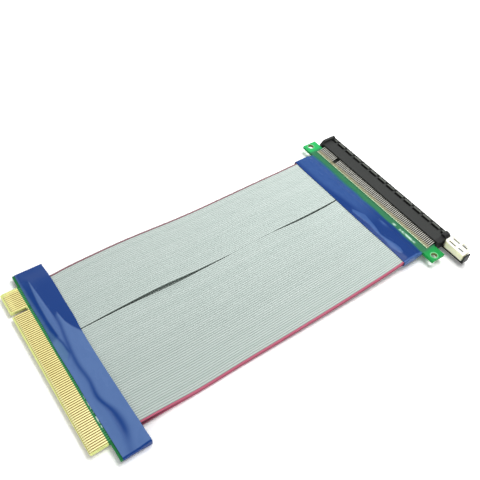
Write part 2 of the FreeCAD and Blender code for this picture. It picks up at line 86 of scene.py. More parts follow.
narrow_slit_lower = (
    (-84, 0.62), (-77, 0.62), (-58, 1.2), (-35, 1.5), (-15, 1.9), (2, 2.1), (13, 2.5), (22, 2.65),
    (49, 2.4), (66, 2.72), (74.5, 2.73))
wide_slit_lower = (
    (-84, 0.62), (-77, 0.6), (-58, 0.7), (-35, 0.75), (-15, 1.6), (2, 2.1), (13, 2.5), (22, 2.6),
    (49, 2.2), (66, 2.72), (74.5, 2.73))
near_edge_lower = (
    (-84, 0.62), (-70, 0.58), (-48, 0.55), (-24, 0.75), (2, 1.3), (27, 1.85), (45, 2.4), (58, 2.95),
    (65.6, 3.26), (68.4, 2.95), (70.4, 2.75), (72.4, 2.73), (74.5, 2.73))

# How far the ribbons' edges lie to the keyed side of a straight line, as (place along X, distance)
far_edge_sideways = (
    (-84, 0.9), (-60, 0.85), (-30, 0.9), (-12, 0.4), (20, 0.55), (44, 0.45), (58, 0.1), (74.5, 0.0))
slit_sideways = (
    (-84, 0.7), (-68, 1.1), (-56, 1.1), (-40, 1.0), (-24, 0.5), (0, 0.55), (28, 0.5), (40, 0.2),
    (52, 0.0), (66, -0.2), (74.5, 0.0))
near_edge_sideways = (
    (-84, -0.2), (-70, -0.4), (-52, -0.85), (-28, -0.75), (-4, -1.0), (20, -1.1), (44, -1.0),
    (60, -0.8), (68, -0.5), (74.5, 0.0))

# How much wider the slit is than the room that the way counts leave, as (place along X, distance)
slit_opening = (
    (-84, 0.1), (-72, 0.15), (-60, 0.25), (-20, 0.3), (-6, 0.15), (1, -0.17), (4, -0.19), (21, -0.19),
    (24, -0.17), (31, 0.1), (42, 0.3), (74.5, 0.3))

# Tape: film thickness, the finest steps of its mesh, and the rounded square that it folds along
film_thickness = 0.13
film_step_x = 0.25
film_step_y = 0.4
fold_points = 13
fold_reach = 0.5
fold_square = 0.4

# Tape: distance from the board's middle on copper and on ribbons, gap over a ribbon, lift where loose
copper_rise = 0.87
tape_rise = 1.74
film_gap = 0.03
loose_lift = 0.15

# Borders of the tape, as (place along Y, distance along X from a straight edge)
plug_tongue_border = (
    (-47, 0.3), (-32, 0.05), (-20, -0.25), (-8, -0.2), (10, -0.45), (22, -0.05), (33, -0.2), (46, 0.15),
    (53.5, 0.3))
plug_ribbon_border = (
    (-47, -0.1), (-38, -0.3), (-24, -0.5), (6, -0.5), (12, -0.3), (17, 0.1), (28, 0.3), (38, 0.6),
    (53.5, 0.5))
socket_ribbon_border = (
    (-39, 0.0), (-26, 0.1), (-14, -0.2), (-2, -0.4), (16, -0.4), (40, -0.45), (45, -0.3))
socket_slot_border = (
    (-39, 0.0), (-32, 0.4), (-26, 0.35), (-20, 0.9), (-13, 0.5), (-2, 0.9), (4, 0.7), (10, 1.1),
    (17, 0.8), (22, 0.7), (29, 1.2), (35, 1.1), (40, 0.9), (43.5, 0.7), (45, 0.2))

# Plug tape: climb to the ribbons from the tongue's tip, fall beside them, stiff part round the board's end
plug_climb = (10.0, 13.6)
fall_reach = 8
stiff_share = 0.85
stiff_part = (-3, 2)

# Creases of the plug tape as (place along Y, place along X), from the latch side to the keyed side
# along the creases the tape lies low and takes no painted sheen
main_crease = (
    (-46, -85.8), (-38, -83.8), (-29, -83.8), (-20, -86.0), (-11.6, -85.4), (-3, -86.0), (10, -84.9),
    (21, -83.6), (30, -83.9), (40, -84.6), (48, -85.6))
tongue_crease = (
    (-46, -89.5), (0, -88.8), (3.6, -86.4), (9.5, -86.7), (18, -88.2), (25, -88.3), (34, -88.4),
    (48, -88.6))

# Main crease: width and depth, how much they grow towards the latch end, and where along Y
crease_width = 0.95
crease_widening = 0.75
crease_wide_part = (22, 34)
crease_end = (22, 30)
crease_depth = 0.75
crease_deepening = 0.2
crease_deep_part = (8, 26)
crease_fading = 0.65
crease_fade_part = (36, 44)

# Tongue-side crease, and the strip of tape before it
second_width = 0.6
second_depth = 0.8
second_start = (0, 6)
strip_share = 0.5
strip_soft = (1.2, 0.3)
strip_start = (-6, 6)

# Bubble at the keyed end, as (place along Y, place along X), its soft borders and its ends
# the bubble is lifted and given a paler painted sheen
bubble_near = ((4, -86.3), (7, -86.4), (14, -86.7), (23, -87.1), (33, -86.9), (42, -86.2), (47.6, -85.6))
bubble_far = ((4, -85.9), (10, -85.2), (14.2, -84.9), (21, -83.9), (29.4, -84.6), (38.7, -85.1),
              (47.6, -85.6))
bubble_soft = (0.35, 0.3)
bubble_start = (3, 6)
bubble_end = (45, 48)
bubble_slack = 0.85

# Wide loose part of the plug tape, bordered as (place along X, place along Y), and the keyed end
# the wide loose part is lifted and given a paler painted sheen
loose_border = (
    (-90, 12.0), (-86, 14.0), (-83.6, 23.0), (-82.1, 24.4), (-81.4, 18.8), (-80, 14.9), (-76, 7.5))
loose_soft = 1.2
loose_slack = 0.95
keyed_slack = 0.08
keyed_part = (38, 48)
fold_flat = 0.4

# Socket tape: descent to the board, from the board's edge under the ribbons
socket_descent = (5.1, 7.5)

# Streak of the socket tape beside the ribbons, lifted and with a paler painted sheen, as (place along Y,
# place along X)
streak_near = (
    (-34.5, 70.4), (-32.7, 69.3), (-27.7, 68.2), (-22.5, 69.0), (-16.9, 68.8), (-10.7, 69.5),
    (-5.6, 68.9), (-0.5, 68.4), (2, 69.3))
streak_far = (
    (-34.5, 71.0), (-31, 71.9), (-27.6, 71.6), (-23.3, 70.4), (-19.3, 69.8), (-13, 71.4), (-5.3, 72.4),
    (0.2, 70.0), (2, 69.5))
streak_soft = (0.3, 0.25)
streak_start = (-34.5, -33)
streak_end = (0, 2)
streak_slack = 0.65

# Socket tape: loose patch by its border, turn at the latch end, and mild swell, with X from the middle
# patch, turn and swell are each lifted and given a paler painted sheen
patch_place = (76.6, -14.5)
patch_size = (0.9, 2.6)
patch_slack = 0.7
turn_part = (0.2, 0.9)
turn_slack = 0.75
swell_start_x = (69.6, 73)
swell_start_y = (-16, 8)
swell_widening = 3.0
swell_wide_part = (2, 26)
swell_slack = 0.45

# Socket tape: strip by its border where the board shows through, and how its fade changes along Y
socket_bare = 7.8
bare_share = 0.9
bare_fade = 1.2
bare_fade_growth = 0.8
bare_fade_part = (-5, 20)
bare_end = 0.1
bare_end_shift = 0.35
bare_end_part = (-8, 0)


def corners_of(node):
    """Lowest and highest corner of a CAD node's box, in millimetres."""
    return [np.array(corner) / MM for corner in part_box(node)]


# Places that the CAD pieces give
plug_low, plug_high = corners_of("plug_board")
socket_low, socket_high = corners_of("socket_board")
finger_low, finger_high = corners_of("plug_contacts_upper")
tail_low, tail_high = corners_of("slot_contacts_upper")
track_low, track_high = corners_of("socket_tracks_upper")
latch_low, latch_high = corners_of("latch")
wide_low, wide_high = corners_of("ribbon_upper_wide")
narrow_high = corners_of("ribbon_upper_narrow")[1]
mouth_x = corners_of("slot_housing")[1][0]
middle_x = (plug_low[0] + mouth_x) / 2
plug_middle = (plug_low[2] + plug_high[2]) / 2
slot_middle = (socket_low[2] + socket_high[2]) / 2

# Paint: softness of a sharp border, half widths of the contacts in their rows of 1 mm pitch, fineness
paint_soft = 0.1
finger_half = 0.35
tail_half = 0.25
noise_detail = 3.0
rounding_samples = 6

# Relief: depth of the finest bumps, and rounding of the edges
soft_bump = 0.012
board_bump = 0.02
board_rounding = 0.12
moulded_bump = 0.02
moulded_rounding = 0.18
latch_bump = 0.015
latch_rounding = 0.2

# Paint of the ribbons: painted shade in the grooves, as a share of the pitch from a wire's axis, weaker
# towards far end and slot
groove_part = (0.26, 0.5)
groove_shade = 0.55
groove_shade_strength = 0.9
groove_far_loss = 0.5
groove_far_part = (-25, 20)
groove_slot_loss = 0.2
groove_slot_part = (20, 70)
red_edge = (0.97, 1.03)
red_fade_part = (0, 20)

# Paint of the tapes and of the solder mask: shares of the clouds, of the mottled border and of the weave
film_clouds = 0.16
border_mottle = 0.8
weave_turn = 7.0
weave_share = 0.12
mask_clouds = 0.5

# Paint of the plug board: mask, key, wear, and plating that starts later towards the keyed end
mask_x = plug_low[0] + 7.7
key_y = finger_high[1] - 11.35
key_reach = 1.3
finger_gap = (0.33, 0.37)
# painted shade along the fingers' edges
finger_shade = (0.2, 0.32)
worn_depth = 3.4
worn_soft = 0.8
worn_share = 0.5
worn_start = 2
# painted highlight on the gold, strongest at the latch end
gold_gleam = 0.35
gold_gleam_part = (-38, 5)
plated_row = (finger_low[1] - 0.2, finger_high[1] - 0.9)
plated_row_soft = 0.15
plating_start = 0.15
plating_edge = (-0.1, 0.0)
plating_full = (0.05, 0.2)
plating_delay = 0.6
plating_part = (-38, 20)
# painted glints on the solder ends beside the plug tape
plug_solder_x = -91.0
plug_solder_y = (-33, -15)
plug_solder_soft = 0.6
plug_solder_clouds = (2.4, 0.46, 0.56)

# Paint of the socket board: ears and their holes, painted glints on the solder beside the tape, tail pads
ear_margin = 1.4
ear_soft = 1.2
hole_x = 83.1
hole_spacing = 94.2
hole_radius = 1.55
hole_ring = 2.1
hole_ring_soft = 0.15
bore_reach = (0.02, 0.08)
solder_row_x = 80.2
solder_row_width = 1.2
solder_row_y = (-32, -17)
solder_row_soft = (0.3, 1.0)
solder_row_share = 0.85
solder_row_clouds = (3.0, 0.4, 0.6)
tail_pad_x = track_high[0] - 3.5
pad_front = 0.7
pad_shade = (1.0, 2.8)
pad_margin = 0.2
mask_border = (0.7, 0.2)
mask_border_soft = 0.15
mask_border_share = 0.7
foot_part = (0.8, 2.6)

# Paint of the contact tails: painted highlights on their middles and painted shade on their sides, strongest
# at the latch end
tail_fade = 0.4
tail_fade_part = (-32, 10)
tail_gleam = 0.45
tail_side = (0.09, 0.2)

# Paint of the slot: painted light on the lugs and painted shade in the pockets, from the mouth, and the block
# at the latch end
face_reach = 2.72
lug_front = 0.5
lug_back = 1.5
pocket_back = 2.7
lug_margin = 0.5
lug_soft = 0.05
lug_top = (0.2, 0.4)
pocket_floor = (-0.25, -0.1)
block_end = (1.6, 2.4)

# Paint of the latch: its top, painted whiter than its sides as painted light, and its slits, painted dark as
# painted shade, as (start from the nose, length, place across as a share)
latch_base_drop = 0.7
latch_base_gap = 0.15
latch_height = 3.8
latch_top = slot_middle - latch_base_drop + latch_base_gap + latch_height
latch_edge = (-0.5, -0.05)
latch_nose = 1.1
latch_slits = ((1.7, 4.0, 0.276), (1.7, 4.0, 0.74), (7.3, 2.9, 0.315), (7.2, 2.9, 0.8))
slit_half = 0.42
slit_soft = 0.03
slit_depth = (-0.3, -0.1)

# Table and light
floor_reach = 2500
floor_colour = 0.82
floor_shown = 1.3
shadow_reach = (170, 420)
key_place = (205, 40, 430)
key_size = (290, 270)
key_power = 1.75
back_place = (250, 900, 700)
back_size = 900
back_power = 3.0
fill_place = (-650, -620, 100)
fill_size = 300
fill_power = 4.2
ambient = 0.36
white = (1, 1, 1, 1)


def srgb(red, green, blue):
    """Linear colour of a colour written as it shows on a screen, 0 to 255."""
    shown = np.array([red, green, blue]) / 255
    linear = np.where(shown <= 0.04045, shown / 12.92, ((shown + 0.055) / 1.055) ** 2.4)
    return (*linear.tolist(), 1.0)


# Colours that two finishes share: the painted glints on the solder beside the tapes
plug_solder_glint_colour = srgb(222, 244, 238)
socket_solder_glint_colour = srgb(206, 240, 224)


class Shade:
    """A socket on its way through a finish: sums and products of it add Math nodes."""

    def __init__(self, finish, socket):
        self.finish = finish
        self.socket = socket

    def __add__(self, other):
        return self.finish.math("ADD", self, other)

    def __radd__(self, other):
        return self.finish.math("ADD", other, self)

    def __sub__(self, other):
        return self.finish.math("SUBTRACT", self, other)

    def __rsub__(self, other):
        return self.finish.math("SUBTRACT", other, self)

    def __mul__(self, other):
        return self.finish.math("MULTIPLY", self, other)

    def __rmul__(self, other):
        return self.finish.math("MULTIPLY", other, self)

    def __truediv__(self, other):
        return self.finish.math("DIVIDE", self, other)


class Finish:
    """A tree of shader nodes, built by expressions on Shades."""

    def __init__(self, tree):
        self.tree = tree

    def node(self, kind, settings, inputs, output=0):
        """A node of that kind, its settings set first, its sockets given values or Shades."""
        made = self.tree.nodes.new(kind)
        for name, value in settings.items():
            setattr(made, name, value)
        for name, value in inputs.items():
            if isinstance(value, Shade):
                self.tree.links.new(value.socket, made.inputs[name])
            else:
                made.inputs[name].default_value = value
        return Shade(self, made.outputs[output])

    def math(self, operation, first, second=0.0):
        return self.node("ShaderNodeMath", {"operation": operation}, {0: first, 1: second})

    def mix(self, mask, bare, covered):
        """One colour where the mask is 0, the other where it is 1."""
        return self.node("ShaderNodeMix", {"data_type": "RGBA"}, {0: mask, 6: bare, 7: covered}, 2)

    def ramp(self, value, start, end):
        """0 up to start, 1 from end on, smooth between them."""
        settings = {"interpolation_type": "SMOOTHSTEP"}
        inputs = {"Value": value, "From Min": start, "From Max": end, "To Min": 0.0, "To Max": 1.0}
        return self.node("ShaderNodeMapRange", settings, inputs)

    def past(self, value, origin, part):
        """0 up to the start of a part that is measured from an origin, 1 from its end on."""
        return self.ramp(value, origin + part[0], origin + part[1])

    def step(self, value, place, soft=paint_soft):
        """0 before a place, 1 after it, with a soft border."""
        return self.ramp(value, place - soft, place + soft)

    def band(self, value, start, end, soft=paint_soft):
        """1 between start and end, 0 outside, with soft borders."""
        return self.step(value, start, soft) * (1 - self.step(value, end, soft))

    def object_place(self):
        return self.node("ShaderNodeTexCoord", {}, {}, "Object")

    def places(self):
        """Millimetres along X, Y and Z."""
        split = self.node("ShaderNodeSeparateXYZ", {}, {0: self.object_place()}).socket.node
        return [Shade(self, socket) / MM for socket in split.outputs]

    def attribute(self, name):
        return self.node("ShaderNodeAttribute", {"attribute_name": name}, {}, "Fac")

    def noise(self, size, stretch=(1, 1, 1)):
        """Cloudy noise from 0 to 1 whose clouds are about size millimetres across, longer where stretched."""
        scale = tuple(1 / (size * MM * part) for part in stretch)
        place = self.node("ShaderNodeMapping", {}, {"Vector": self.object_place(), "Scale": scale})
        return self.node("ShaderNodeTexNoise", {}, {"Vector": place, "Scale": 1.0, "Detail": noise_detail})

    def clouded(self, size, start, end):
        """0 in the thin parts of cloudy noise, 1 in its thick parts."""
        return self.ramp(self.noise(size), start, end)

    def each(self, number):
        """A value from 0 to 1 drawn for each whole number."""
        return self.node("ShaderNodeTexWhiteNoise", {"noise_dimensions": "1D"}, {"W": number})

    def bump(self, height, depth, normal=None):
        """Normal of a surface raised by height from 0 to 1, times depth in millimetres."""
        inputs = {"Height": height, "Distance": depth * MM, "Strength": 1.0}
        if normal is not None:
            inputs["Normal"] = normal
        return self.node("ShaderNodeBump", {}, inputs)

    def rounded(self, radius):
        """Normal as if every edge were rounded by that radius in millimetres."""
        return self.node("ShaderNodeBevel", {"samples": rounding_samples}, {"Radius": radius * MM})


def surface(name, fixed, varying):
    """A material with one Principled shader: fixed socket values, and a function for the varying ones."""
    material = bpy.data.materials.new(name)
    material.use_nodes = True
    finish = Finish(material.node_tree)
    shader = material.node_tree.nodes["Principled BSDF"]
    for socket, value in fixed.items():
        shader.inputs[socket].default_value = value
    for socket, shade in varying(finish).items():
        material.node_tree.links.new(shade.socket, shader.inputs[socket])
    return material


# Finishes

def ribbon_insulation(finish):
    """Grey insulation with one red edge wire, with painted shade in the grooves, a little uneven from wire to
    wire.
    """
    wire = finish.attribute("wire_place")
    from_wire = finish.math("ABSOLUTE", finish.math("FRACT", wire) - 0.5)
    groove_shade_mask = finish.ramp(from_wire, *groove_part)
    each = finish.each(finish.math("FLOOR", wire))
    clouds = finish.noise(9.0, (3, 1, 1))
    grey = finish.mix(each * 0.5 + clouds * 0.5, srgb(186, 200, 194), srgb(200, 211, 206))
    x, y, z = finish.places()
    fresh = finish.mix(clouds, srgb(180, 72, 102), srgb(196, 96, 124))
    faded = finish.mix(clouds, srgb(128, 88, 96), srgb(144, 104, 110))
    red = finish.mix(finish.ramp(y, *red_fade_part), fresh, faded)
    coloured = finish.mix(finish.ramp(wire, *red_edge), red, grey)
    far_loss = groove_far_loss * finish.ramp(y, *groove_far_part)
    slot_loss = groove_slot_loss * finish.ramp(x, *groove_slot_part)
    depth = groove_shade_strength - far_loss - slot_loss
    # painted shade in the grooves between the wires
    groove_shade_colour = finish.mix(groove_shade, coloured, srgb(70, 84, 78))
    shaded = finish.mix(groove_shade_mask * depth, coloured, groove_shade_colour)
    fine = finish.noise(0.5, (6, 1, 1))
    normal = finish.bump(fine, soft_bump)
    return {"Base Color": shaded, "Roughness": 0.42 + 0.14 * clouds, "Normal": normal}


def blue_film(finish, navy, pale, bare, mottle):
    """Glossy blue film: navy where it sticks, with a paler painted sheen where air lies under it, dull where
    bare board shows.
    """
    loose_and_sheen = finish.attribute("loose_and_sheen")
    clouds = finish.noise(7.0, (1, 2, 1))
    patches = finish.noise(1.6, (1, 2, 1))
    amount = loose_and_sheen * (1 + mottle * (patches - 0.5)) + film_clouds * (clouds - 0.5)
    # painted sheen: paler where the tape lies loose over air
    painted_air_sheen = finish.mix(amount, navy, pale)
    border = finish.attribute("over_board") * (1 + border_mottle * (patches - 0.5))
    colour = finish.mix(border, painted_air_sheen, bare)
    fine = finish.noise(2.2, (1, 2, 1))
    normal = finish.bump(fine, soft_bump)
    return {"Base Color": colour, "Roughness": 0.2 + 0.12 * clouds, "Normal": normal}


def solder_mask(finish, x, y, clouds, deep, bright):
    """Green solder mask over a woven laminate, whose weave shows through as a faint check."""
    weave = finish.math("SINE", x * weave_turn) * finish.math("SINE", y * weave_turn)
    return finish.mix(0.5 + weave_share * weave + mask_clouds * (clouds - 0.5), deep, bright)


def board_sheen(finish, colour, clouds):
    """A board's colour with the sheen of its mask and with softened edges."""
    normal = finish.bump(clouds, board_bump, finish.rounded(board_rounding))
    return {"Base Color": colour, "Roughness": 0.35 + 0.2 * clouds, "Normal": normal}


def from_axis(finish, y, row_start, half):
    """Distance from the axis of the nearest contact in a row of 1 mm pitch."""
    return finish.math("ABSOLUTE", finish.math("FRACT", y - (row_start + half - 0.5)) - 0.5)


def from_finger(finish, y):
    return from_axis(finish, y, finger_low[1], finger_half)


def worn_tip(finish, x, y):
    """More than 0 on the part of the short row of fingers that insertion has rubbed, 0 elsewhere."""
    near_tip = 1 - finish.step(x, plug_low[0] + worn_depth, worn_soft)
    return worn_share * near_tip * finish.ramp(y, key_y, key_y + worn_start)


def plug_solder_glint(finish, x, y):
    """1 on the solder ends that show beside the plug tape, where their glints are painted, 0 elsewhere."""
    row = finish.band(y, *plug_solder_y, plug_solder_soft)
    row = row * finish.ramp(x, plug_solder_x - paint_soft, plug_solder_x)
    return row * finish.clouded(*plug_solder_clouds)


def plug_laminate(finish):
    """Plug board: bare brown laminate between the fingers, whose plating thins out down the pale cut bevel,
    painted brighter there than the fingers' gold as painted light on the slope, and green behind them."""
    x, y, z = finish.places()
    clouds = finish.noise(6.0)
    mask = solder_mask(finish, x, y, clouds, srgb(14, 102, 48), srgb(26, 122, 62))
    brown = finish.mix(finish.noise(0.8), srgb(100, 74, 36), srgb(126, 98, 54))
    cut = finish.mix(finish.noise(0.6, (1, 4, 1)), srgb(224, 232, 136), srgb(240, 246, 168))
    between = finish.band(y, *plated_row, plated_row_soft)
    between = between * (1 - finish.band(y, key_y - key_reach, key_y + key_reach))
    brown = finish.mix(worn_tip(finish, x, y), brown, srgb(192, 182, 112))
    past_start = x - plug_low[0] - plating_start - plating_delay * finish.ramp(y, *plating_part)
    beside = finish.ramp(from_finger(finish, y), *finger_gap)
    # painted light: the plating on the sloped bevel is paler than the gold of the fingers
    plated = finish.mix(beside, srgb(246, 242, 178), srgb(172, 150, 86))
    started = finish.mix(finish.ramp(past_start, *plating_full), srgb(172, 164, 84), plated)
    bevelled = finish.mix(between * finish.ramp(past_start, *plating_edge), cut, started)
    behind = between * finish.ramp(x, finger_low[0], finger_low[0] + paint_soft)
    bare = finish.mix(behind, bevelled, brown)
    mask = finish.mix(plug_solder_glint(finish, x, y), mask, plug_solder_glint_colour)
    return board_sheen(finish, finish.mix(finish.step(x, mask_x), bare, mask), clouds)


def socket_solder_glint(finish, x, y):
    """More than 0 on the solder ends that show beside the socket tape, where their glints are painted, 0
    elsewhere.
    """
    across, along = solder_row_soft
    row = finish.band(y, *solder_row_y, along)
    row = row * finish.band(x, solder_row_x, solder_row_x + solder_row_width, across)
    return solder_row_share * row * finish.clouded(*solder_row_clouds)


def before_pads(finish, x):
    """1 on the dark border of the mask before the tail pads, 0 elsewhere."""
    return finish.band(x, tail_pad_x - mask_border[0], tail_pad_x - mask_border[1], mask_border_soft)


def socket_laminate(finish):
    """Socket board: green mask, deeper between the tape and the slot from the tracks under it and painted
    shade, brighter on the two ears.
    """
    x, y, z = finish.places()
    clouds = finish.noise(6.0)
    band = solder_mask(finish, x, y, clouds, srgb(34, 104, 68), srgb(52, 126, 86))
    # painted shade: the near ear is darker green than the far one
    shaded_near_ear = solder_mask(finish, x, y, clouds, srgb(6, 138, 58), srgb(16, 162, 76))
    far_ear = solder_mask(finish, x, y, clouds, srgb(28, 168, 84), srgb(48, 192, 106))
    ear = finish.mix(finish.ramp(y, socket_low[1], socket_high[1]), shaded_near_ear, far_ear)
    along = finish.math("ABSOLUTE", y - (socket_low[1] + socket_high[1]) / 2) - hole_spacing / 2
    from_hole = finish.math("POWER", along * along + (x - hole_x) * (x - hole_x), 0.5)
    ring = finish.band(from_hole, hole_radius, hole_ring, hole_ring_soft)
    ear = finish.mix(ring, ear, srgb(112, 206, 140))
    ear = finish.mix(finish.past(from_hole, hole_radius, bore_reach), srgb(146, 156, 100), ear)
    outside = 1 - finish.band(y, track_low[1] - ear_margin, track_high[1] + ear_margin, ear_soft)
    # tan flux at the pads' foot, then painted shade on the board under the slot between the tails
    foot = finish.past(x, tail_pad_x, foot_part)
    flux_and_painted_shade = finish.mix(foot, srgb(142, 138, 108), srgb(24, 26, 22))
    beside_pads = finish.band(y, track_low[1] - pad_margin, track_high[1] + pad_margin)
    behind = finish.step(x, tail_pad_x) * beside_pads
    dark_border = mask_border_share * (before_pads(finish, x) * beside_pads)
    band = finish.mix(socket_solder_glint(finish, x, y), band, socket_solder_glint_colour)
    mask = finish.mix(dark_border, finish.mix(outside, band, ear), srgb(16, 70, 44))
    return board_sheen(finish, finish.mix(behind, mask, flux_and_painted_shade), clouds)


def gold_plate(finish):
    """Gold fingers with fine wipe marks along X, a painted highlight and painted shade along their edges,
    green where the mask covers their tracks.
    """
    x, y, z = finish.places()
    marks = finish.noise(0.25, (14, 1, 1))
    clouds = finish.noise(5.0)
    bright = finish.mix(clouds * 0.6 + marks * 0.4, srgb(200, 192, 122), srgb(226, 220, 156))
    # painted highlight on the gold, strongest at the latch end
    gleam = gold_gleam * (1 - finish.ramp(y, *gold_gleam_part))
    bright = finish.mix(gleam, bright, srgb(238, 236, 190))
    # painted shade along each finger's edges
    edge = finish.ramp(from_finger(finish, y), *finger_shade) * (1 - worn_tip(finish, x, y))
    gold = finish.mix(edge, bright, srgb(174, 150, 92))
    covered = finish.step(x, mask_x)
    track = finish.mix(plug_solder_glint(finish, x, y), srgb(40, 138, 76), plug_solder_glint_colour)
    colour = finish.mix(covered, gold, track)
    return {"Base Color": colour, "Metallic": 0.85 * (1 - covered), "Roughness": 0.34 + 0.2 * marks}


def tinned(finish):
    """Tin-dipped copper, dull and a little uneven."""
    clouds = finish.noise(0.9)
    colour = finish.mix(clouds, srgb(176, 172, 160), srgb(208, 206, 198))
    return {"Base Color": colour, "Roughness": 0.3 + 0.25 * clouds}


def contact_tail(finish):
    """Slot contacts: tin with a painted highlight, and painted shade on its sides where they rise from the
    board, duller at the foot.
    """
    x, y, z = finish.places()
    clouds = finish.noise(0.8)
    each = finish.each(finish.math("ROUND", y))
    tin = finish.mix(0.5 * clouds + 0.5 * each, srgb(136, 136, 128), srgb(182, 182, 173))
    # painted highlight on the tin, strongest at the latch end
    near = 1 - tail_fade * finish.ramp(y, *tail_fade_part)
    tin = finish.mix(tail_gleam * near, tin, srgb(226, 224, 216))
    # painted shade on each tail's sides
    beside = finish.ramp(from_axis(finish, y, tail_low[1], tail_half), *tail_side)
    tin = finish.mix(near * beside, tin, srgb(66, 60, 48))
    dull = finish.mix(clouds, srgb(146, 140, 114), srgb(172, 166, 138))
    colour = finish.mix(finish.past(x, tail_low[0], foot_part), dull, tin)
    return {"Base Color": colour, "Roughness": 0.5 + 0.2 * clouds}


def socket_copper(finish):
    """Tracks under the mask, and bare tinned pads under the contact tails, darker towards the slot as painted
    shade.
    """
    x, y, z = finish.places()
    clouds = finish.noise(0.9)
    bare = finish.step(x, tail_pad_x)
    tin = finish.mix(clouds, srgb(120, 120, 94), srgb(146, 146, 118))
    front = finish.band(x, tail_pad_x, tail_pad_x + pad_front)
    # painted shade: the pads darken towards the slot
    pads = finish.mix(finish.past(x, tail_pad_x, pad_shade), tin, srgb(44, 46, 40))
    green = finish.mix(before_pads(finish, x), srgb(44, 124, 80), srgb(20, 80, 50))
    masked = finish.mix(socket_solder_glint(finish, x, y), green, socket_solder_glint_colour)
    colour = finish.mix(bare, masked, finish.mix(front, pads, srgb(212, 240, 204)))
    return {"Base Color": colour, "Metallic": 0.9 * bare, "Roughness": 0.3 + 0.2 * clouds}


def black_moulding(finish):
    """Satin black plastic with a fine spark-eroded grain, with painted light on the lugs' tops and painted
    shade in the pockets.
    """
    x, y, z = finish.places()
    grain = finish.noise(0.35)
    clouds = finish.noise(8.0)
    from_middle = finish.math("ABSOLUTE", z - slot_middle)
    along_lugs = finish.band(y, tail_low[1] - lug_margin, tail_high[1] + lug_margin)
    # painted light on the lugs' tops
    lit_lug_top = finish.band(x, mouth_x - lug_back, mouth_x - lug_front, lug_soft) * along_lugs
    lit_lug_top = lit_lug_top * finish.past(from_middle, face_reach, lug_top)
    # painted shade in the pockets
    shaded_pocket = finish.band(x, mouth_x - pocket_back, mouth_x - lug_back, lug_soft) * along_lugs
    shaded_pocket = shaded_pocket * (1 - finish.past(from_middle, face_reach, pocket_floor))
    plain = finish.mix(clouds, srgb(38, 40, 39), srgb(46, 48, 46))
    latch_end = 1 - finish.past(y, latch_high[1], block_end)
    body = finish.mix(latch_end, finish.mix(lit_lug_top, plain, srgb(92, 95, 90)), srgb(26, 26, 26))
    colour = finish.mix(shaded_pocket, body, srgb(8, 8, 8))
    normal = finish.bump(grain, moulded_bump, finish.rounded(moulded_rounding))
    return {"Base Color": colour, "Roughness": 0.4 + 0.15 * grain, "Normal": normal}


def ivory_moulding(finish):
    """Ivory plastic, slightly yellow in its clouds, its top painted whiter than its yellower sides as painted
    light, with painted shade down in the slits.
    """
    x, y, z = finish.places()
    grain = finish.noise(0.4)
    clouds = finish.noise(4.0)
    top = finish.mix(clouds, srgb(248, 246, 224), srgb(252, 251, 238))
    # painted light: the top is whiter than the yellower sides
    ivory = finish.mix(finish.past(z, latch_top, latch_edge), srgb(248, 250, 210), top)
    # painted shade down in the slits
    painted_slit_shade = 0.0
    for start, length, share in latch_slits:
        across = latch_low[0] + share * (latch_high[0] - latch_low[0])
        inner = latch_high[1] - latch_nose - start
        slit = finish.band(x, across - slit_half, across + slit_half, slit_soft)
        painted_slit_shade = painted_slit_shade + slit * finish.band(y, inner - length, inner)
    deep = 1 - finish.past(z, latch_top, slit_depth)
    colour = finish.mix(painted_slit_shade * deep, ivory, srgb(120, 118, 84))
    normal = finish.bump(grain, latch_bump, finish.rounded(latch_rounding))
    return {"Base Color": colour, "Roughness": 0.4 + 0.15 * clouds, "Normal": normal}


def drawn_steel(finish):
    """Drawn pin steel with marks along the pin."""
    marks = finish.noise(0.2, (1, 1, 12))
    colour = finish.mix(marks, srgb(150, 150, 150), srgb(190, 190, 190))
    return {"Base Color": colour, "Roughness": 0.25 + 0.2 * marks}


# Meshes

def smooth_route(points, places):
    """Heights along a route: between two points a cubic with the slopes of the chords around them."""
    known = np.array(points, float)
    at, height = known.T
    slopes = np.gradient(height, at)
    index = np.clip(np.searchsorted(at, places) - 1, 0, len(at) - 2)
    span = at[index + 1] - at[index]
    share = (places - at[index]) / span
    rest = 1 - share
    start = height[index] * (1 + 2 * share) + span * slopes[index] * share
    end = height[index + 1] * (1 + 2 * rest) - span * slopes[index + 1] * rest
    return start * rest ** 2 + end * share ** 2


def smooth_line(points, places):
    """A smooth route that stays level before its first point and after its last."""
    return smooth_route(points, np.clip(places, points[0][0], points[-1][0]))


def straight_line(points, places):
    """Heights along a route that is straight between its points."""
    known = np.array(points, float)
    return np.interp(places, known[:, 0], known[:, 1])


def smooth_step(values, start, end):
    """0 up to start, 1 from end on, with the cubic 3t^2 - 2t^3 between them."""
    share = np.clip((values - start) / (end - start), 0, 1)
    return share * share * (3 - 2 * share)


def between_lines(x, y, near, far, soft):
    """1 between two drawn lines along Y, 0 outside, with a soft border at each."""
    near_x = straight_line(near, y)
    far_x = straight_line(far, y)
    inside = smooth_step(x, near_x - soft[0], near_x + soft[0])
    return inside * (1 - smooth_step(x, far_x - soft[1], far_x + soft[1]))


def make_piece(name, points, faces, material, node, attributes):
    """A mesh piece from points in millimetres, riding on the cable in place of a CAD node."""
    mesh = bpy.data.meshes.new(name)
    mesh.from_pydata((points * MM).tolist(), [], faces)
    for label, values in attributes.items():
        layer = mesh.attributes.new(label, "FLOAT", "POINT")
        layer.data.foreach_set("value", values.astype(np.float32).ravel())
    mesh.polygons.foreach_set("use_smooth", np.ones(len(mesh.polygons), bool))
    mesh.materials.append(material)
    piece = bpy.data.objects.new(name, mesh)
    bpy.context.scene.collection.objects.link(piece)
    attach(piece, "cable")
    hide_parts(node)
    return piece


def tube_faces(rings, around):
    """Quads of a tube of rings of points, each ring closed."""
    index = np.arange(rings * around).reshape(rings, around)
    turned = np.roll(index, -1, axis=1)
    quads = np.stack([index[:-1], turned[:-1], turned[1:], index[1:]], axis=-1)
    return quads.reshape(-1, 4).tolist()


